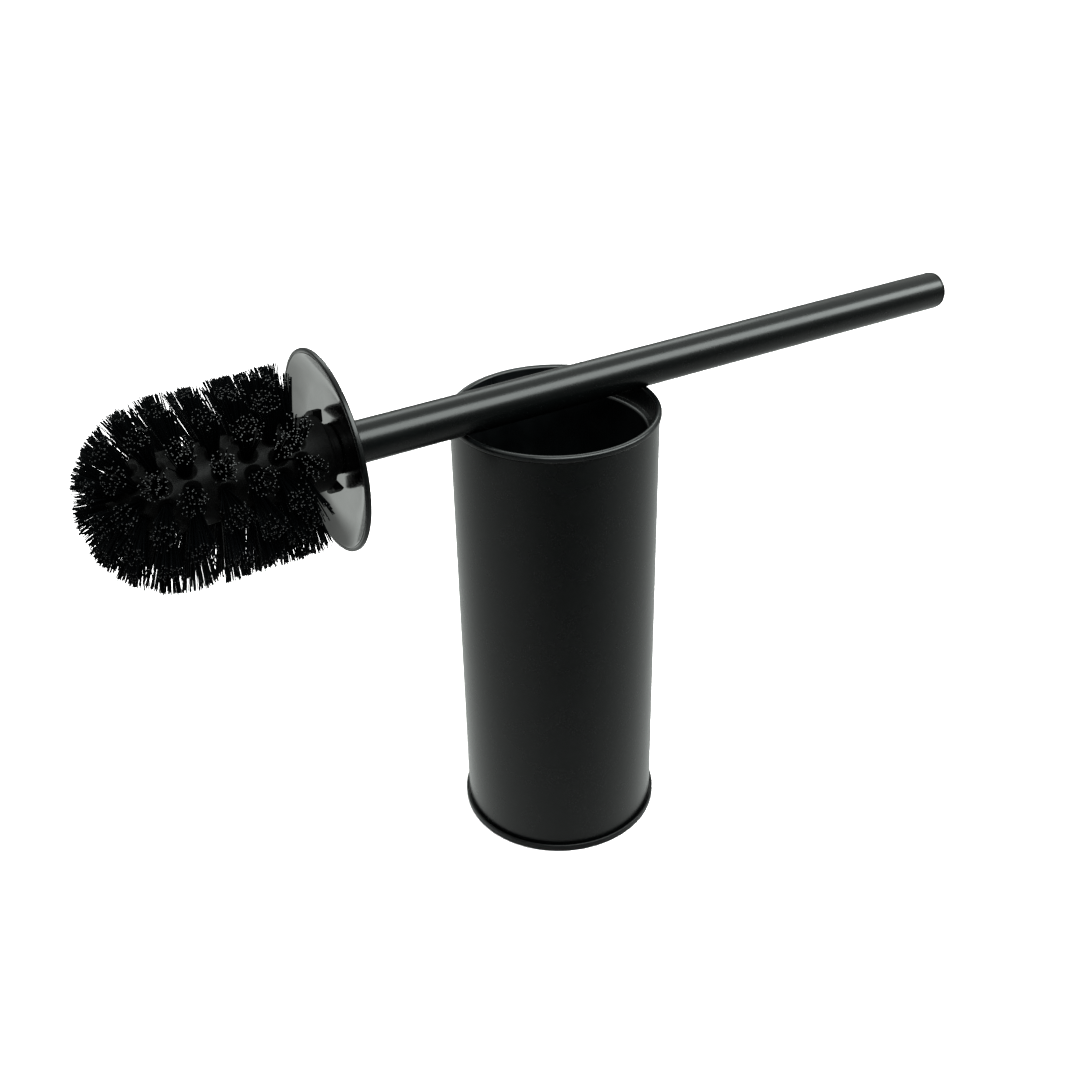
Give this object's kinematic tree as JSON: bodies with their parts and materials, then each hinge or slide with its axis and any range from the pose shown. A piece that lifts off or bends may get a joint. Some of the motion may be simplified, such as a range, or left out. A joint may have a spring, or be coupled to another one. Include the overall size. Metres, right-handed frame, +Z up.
{
  "type": "toilet brush and holder",
  "caption": "Tubular canister with removable liner and rimmed base, and a tube-handled toilet brush with a sliding dished lid lying across the rim.",
  "frame": {"origin": "centre of the flat underside of the anti-slip pad, on the canister's axis", "axes": "+Z up along the canister's axis; +X along the brush, from its bristle head towards the free end of its handle"},
  "size_m": [0.4229, 0.0948, 0.2665],
  "materials": {
    "black_paint": "matt black powder coat with a fine grain",
    "black_plastic": "satin black moulded plastic",
    "liner_plastic": "semi-gloss black moulded plastic",
    "bristle": "black nylon filament, slightly shiny",
    "satin_steel": "satin bare face, edge and upper side painted black",
    "plated_steel": "zinc plated",
    "brass": "plain turned",
    "foam_rubber": "dull closed-cell foam"
  },
  "bodies": {
    "holder": {"holder_shell": "black_paint", "base_cap": "black_plastic", "anti_slip_pad": "foam_rubber"},
    "liner": {"liner": "liner_plastic"},
    "handle": {"handle_tube": "black_paint", "handle_end_cap": "black_plastic", "threaded_plug": "black_plastic", "threaded_stud": "plated_steel"},
    "lid": {"lid_disc": "satin_steel"},
    "insert": {"thread_insert": "brass"},
    "head": {"head_core": "black_plastic", "neck_collar": "black_plastic", "bristle_ring_1": "bristle", "bristle_ring_2": "bristle", "bristle_ring_3": "bristle", "bristle_ring_4": "bristle", "bristle_ring_5": "bristle", "bristle_ring_6": "bristle", "bristle_ring_7": "bristle", "bristle_ring_8": "bristle", "bristle_end_tuft": "bristle"}
  },
  "joints": [
    {"name": "liner_lift", "type": "slide", "parent": "holder", "child": "liner", "axis": [0, 0, 1], "range_m": [0, 0.21]},
    {"name": "brush_lift", "type": "slide", "parent": "liner", "child": "handle", "axis": [0, 0, 1], "range_m": [0, 0.12]},
    {"name": "lid_slide", "type": "slide", "parent": "handle", "child": "lid", "axis": [1, 0, 0], "range_m": [0, 0.051]},
    {"name": "head_feed", "type": "slide", "parent": "handle", "child": "insert", "axis": [-1, 0, 0], "range_m": [0, 0.0101]},
    {"name": "head_unscrew", "type": "hinge", "parent": "insert", "child": "head", "pos_m": [-0.1075, -0.0019, 0.2249], "axis": [-1, 0, 0], "range_deg": [0, 2880]}
  ],
  "couplings": [
    {"joint": "head_feed", "follows": "head_unscrew", "m_per_rad": 0.00019894}
  ]
}
